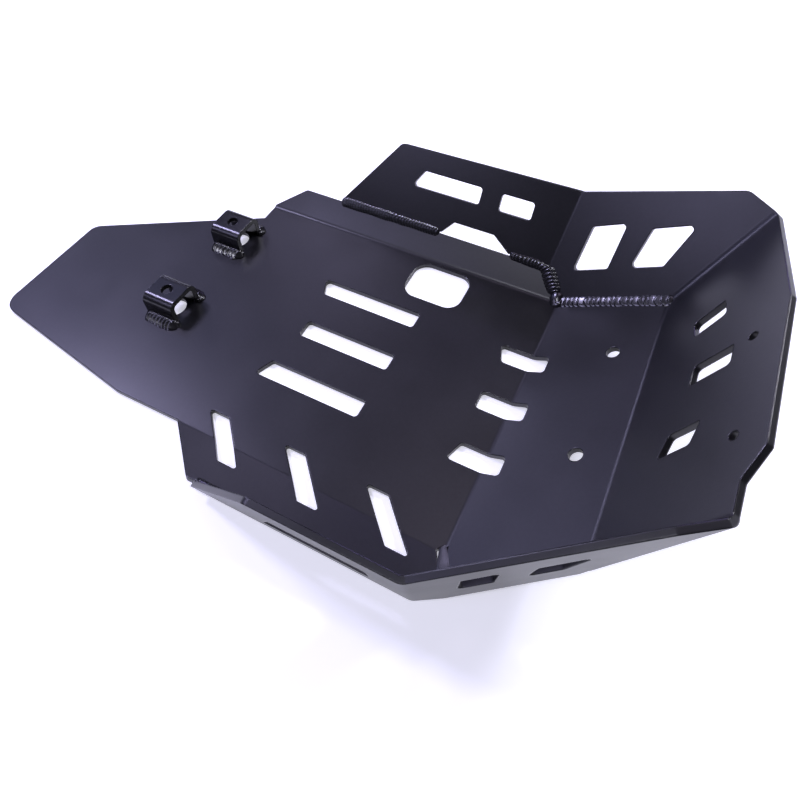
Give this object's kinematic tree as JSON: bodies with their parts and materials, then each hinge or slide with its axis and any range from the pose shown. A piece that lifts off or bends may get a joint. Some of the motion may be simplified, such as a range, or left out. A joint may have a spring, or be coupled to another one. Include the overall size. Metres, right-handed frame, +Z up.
{
  "type": "motorcycle skid plate",
  "caption": "Folded sheet skid plate with welded side wings, drain and vent openings, and upturned U brackets that bolt it below a motorcycle's engine.",
  "frame": {"origin": "below the middle of the plate's box, level with the floor's underside", "axes": "+X to the motorcycle's front, +Y to its left, +Z up"},
  "size_m": [0.5044, 0.3038, 0.124],
  "materials": {
    "coat": "satin",
    "weld": "gloss"
  },
  "bodies": {
    "root": {"folded_plate": "coat", "left_mount_bracket": "coat", "right_mount_bracket": "coat", "left_bracket_welds": "weld", "right_bracket_welds": "weld", "left_wing_welds": "weld", "right_wing_welds": "weld"}
  },
  "joints": []
}
